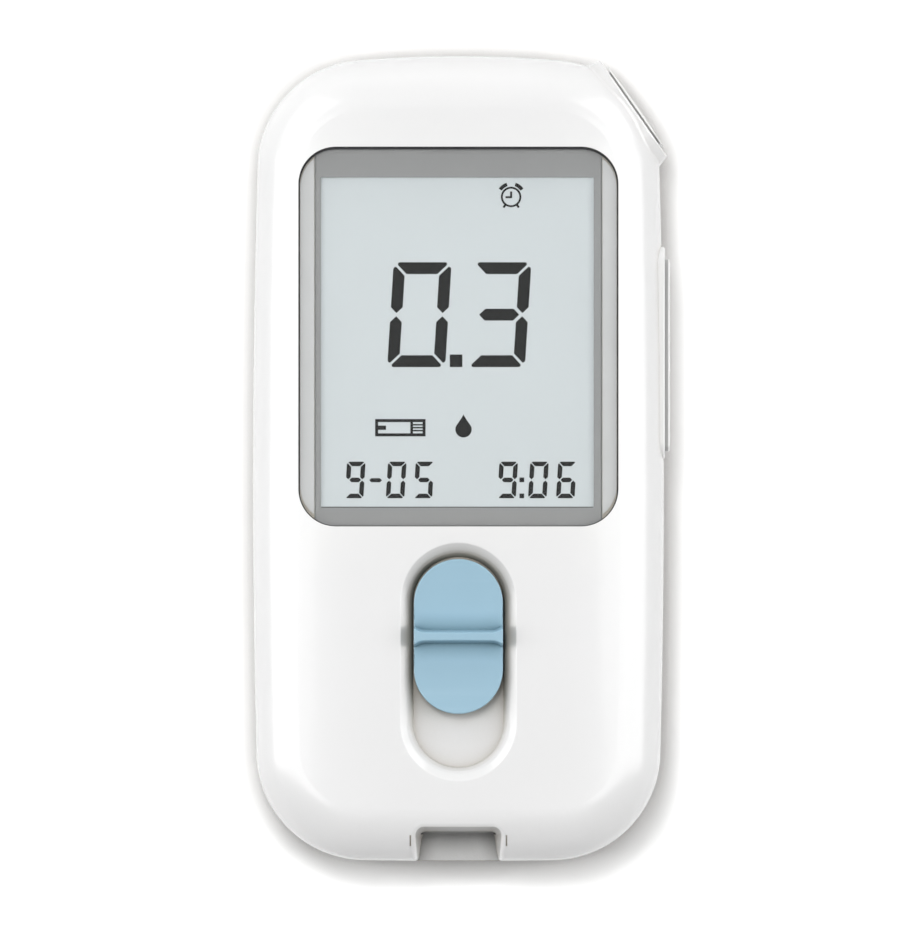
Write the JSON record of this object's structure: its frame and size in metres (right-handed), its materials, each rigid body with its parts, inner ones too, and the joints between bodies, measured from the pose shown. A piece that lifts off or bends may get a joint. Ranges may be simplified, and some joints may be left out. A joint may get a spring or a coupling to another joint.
{
  "type": "blood glucose meter",
  "caption": "Pocket meter with a rounded white body, display window, sliding strip ejector, side rocker, corner button, strip port and battery door.",
  "frame": {"origin": "on the flat back that the meter rests on, under the middle of the body's plan shape", "axes": "+X to the right seen from the display side, +Y towards the top end, away from the strip port, +Z from the back to the display"},
  "size_m": [0.0538, 0.1038, 0.0218],
  "materials": {
    "white_housing": "glossy white ABS",
    "white_key": "glossy white ABS",
    "blue_slider": "satin pale blue",
    "clear_lens": "clear polished acrylic",
    "light_tape": "light grey foam tape",
    "grey_bezel": "mid grey satin",
    "grey_key": "mid grey satin moulding",
    "grey_port": "fine textured grey moulding",
    "display_film": "pale blue-grey polariser",
    "display_glass": "clear display glass",
    "silver_film": "silver reflector film",
    "dark_rubber": "conductive and plain rubber in layers",
    "green_board": "green solder mask",
    "black_plastic": "black moulding",
    "ivory_plastic": "natural moulding",
    "natural_pom": "natural white acetal",
    "steel": "bright zinc plate",
    "spring_steel": "drawn spring wire",
    "gold_contact": "gold plate",
    "cell_jacket": "plain dark printed jacket"
  },
  "bodies": {
    "housing": {"front_cover": "white_housing", "rear_cover": "white_housing", "window_lens": "clear_lens", "lens_seal": "dark_rubber", "lens_tape": "light_tape", "display_bezel": "grey_bezel", "front_polariser": "display_film", "front_glass": "display_glass", "rear_glass": "display_glass", "reflector": "silver_film", "zebra_connector": "dark_rubber", "main_board": "green_board", "battery_cell_left": "cell_jacket", "battery_cell_right": "cell_jacket", "battery_negative_contact": "steel", "battery_positive_contact": "steel", "battery_bridge": "steel", "battery_spring_low": "spring_steel", "battery_spring_high": "spring_steel", "ejector_spring": "spring_steel", "strip_port_guide": "grey_port", "strip_connector": "ivory_plastic", "strip_contacts": "gold_contact", "side_key_bezel": "white_key", "up_switch": "black_plastic", "up_switch_plunger": "ivory_plastic", "down_switch": "black_plastic", "down_switch_plunger": "ivory_plastic", "corner_switch": "black_plastic", "housing_screws": "steel", "board_screws": "steel", "buzzer": "black_plastic", "processor": "black_plastic", "signal_chip": "black_plastic", "crystal": "steel"},
    "battery_door": {"battery_door": "white_housing"},
    "ejector": {"ejector_slider": "blue_slider", "ejector_carriage": "natural_pom", "ejector_pusher": "natural_pom"},
    "side_rocker": {"side_rocker": "grey_key", "side_rocker_cap": "white_key"},
    "corner_button": {"corner_button": "white_key", "corner_switch_plunger": "ivory_plastic"}
  },
  "joints": [
    {"name": "ejector_slide", "type": "slide", "parent": "housing", "child": "ejector", "axis": [0, -1, 0], "range_m": [0, 0.0065], "stiffness_N_per_m": 150, "springref_m": -0.003, "deforming": ["ejector_spring"]},
    {"name": "side_rocker_tilt", "type": "hinge", "parent": "housing", "child": "side_rocker", "pos_m": [0.0242, 0.0133, 0.0102], "axis": [0, 0, 1], "range_deg": [-1.6, 1.6], "stiffness_Nm_per_rad": 0.4, "deforming": ["up_switch_plunger", "down_switch_plunger"]},
    {"name": "corner_button_press", "type": "slide", "parent": "housing", "child": "corner_button", "axis": [-0.8192, -0.5736, 0], "range_m": [0, 0.0002], "stiffness_N_per_m": 3000, "springref_m": -0.0001},
    {"name": "battery_door_slide", "type": "slide", "parent": "housing", "child": "battery_door", "axis": [0, 1, 0], "range_m": [0, 0.05]}
  ]
}
